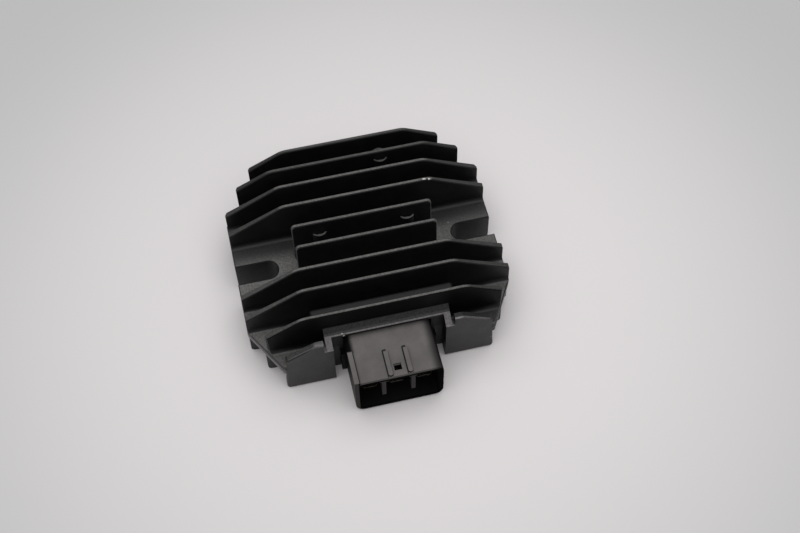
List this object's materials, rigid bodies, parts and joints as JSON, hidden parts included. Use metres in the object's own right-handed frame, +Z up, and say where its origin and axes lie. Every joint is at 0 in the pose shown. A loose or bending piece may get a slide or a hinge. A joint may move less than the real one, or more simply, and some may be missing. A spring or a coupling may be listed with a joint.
{
  "type": "voltage regulator rectifier",
  "caption": "Finned die-cast voltage regulator rectifier with slotted mounting ears and a front blade socket, its electronics sealed in resin underneath.",
  "frame": {"origin": "midway between the two mounting slots, on the plane that the unit is bolted down on", "axes": "+X along the fins from one ear to the other, +Y away from the socket, +Z up through the fins"},
  "size_m": [0.1004, 0.0996, 0.0347],
  "materials": {
    "coated_casting": "black coating, satin",
    "socket_plastic": "moulded, fine texture",
    "tinned_blade": "tin plated",
    "resin": "cast resin, satin",
    "pad": "soft pad",
    "board": "metal core board under solder mask",
    "device_package": "moulded package",
    "capacitor_can": "plain can",
    "resistor_body": "glazed chip"
  },
  "bodies": {
    "root": {"heatsink_housing": "coated_casting", "connector_housing": "socket_plastic", "terminal_phase_a": "tinned_blade", "terminal_phase_b": "tinned_blade", "terminal_phase_c": "tinned_blade", "terminal_plus": "tinned_blade", "terminal_ground": "tinned_blade", "terminal_sense": "tinned_blade", "thermal_pad": "pad", "power_board": "board", "thyristor_1": "device_package", "thyristor_2": "device_package", "thyristor_3": "device_package", "rectifier_diode_1": "device_package", "rectifier_diode_2": "device_package", "rectifier_diode_3": "device_package", "control_chip": "device_package", "zener_diode": "device_package", "timing_capacitor": "capacitor_can", "gate_resistor_1": "resistor_body", "gate_resistor_2": "resistor_body", "gate_resistor_3": "resistor_body", "potting_resin": "resin"}
  },
  "joints": []
}
